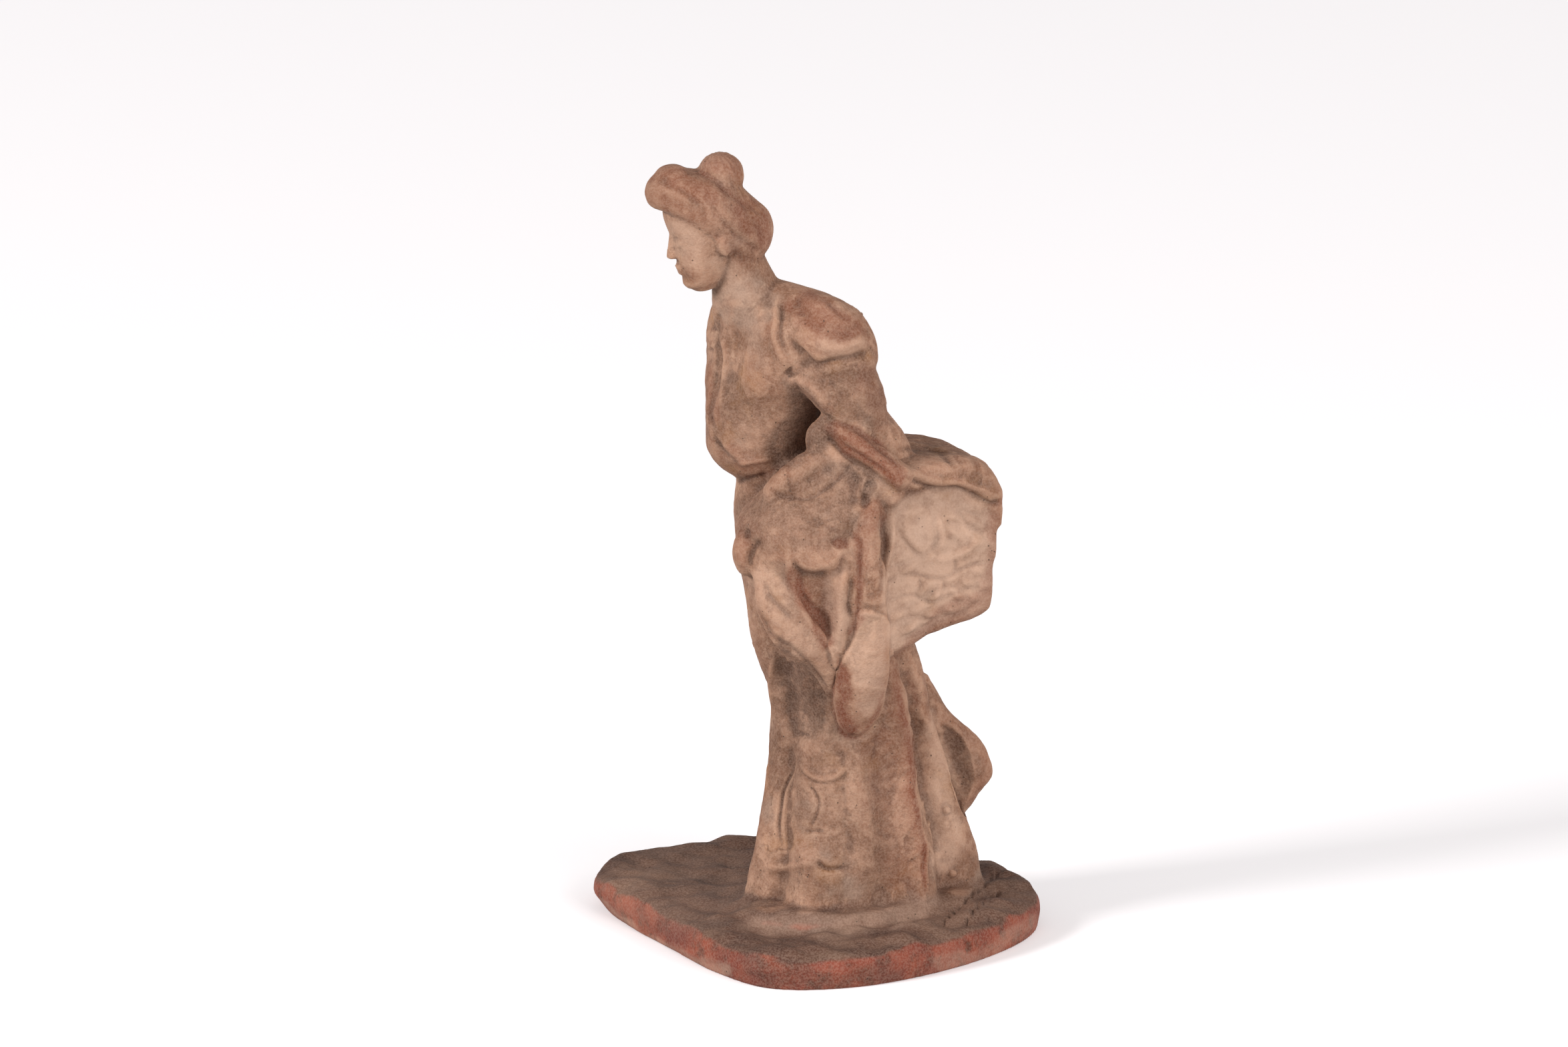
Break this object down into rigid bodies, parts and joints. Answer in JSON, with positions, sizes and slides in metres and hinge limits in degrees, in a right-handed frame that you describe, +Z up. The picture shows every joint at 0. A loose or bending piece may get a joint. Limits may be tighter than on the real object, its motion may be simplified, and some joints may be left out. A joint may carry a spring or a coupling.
{
  "type": "terracotta female figurine",
  "caption": "Fired clay sketch of a walking woman in a long skirt and puffed sleeves, with a covered basket on her arm, standing on a rough slab.",
  "frame": {"origin": "centre of the slab's underside, below the middle of the bounding box", "axes": "+Z up; the woman walks towards -X and a little towards -Y, and her left side with the basket faces -Y"},
  "size_m": [0.191, 0.197, 0.3508],
  "materials": {
    "terracotta": "matt unglazed fired clay with a grimy patina"
  },
  "bodies": {
    "root": {"figurine": "terracotta"}
  },
  "joints": []
}
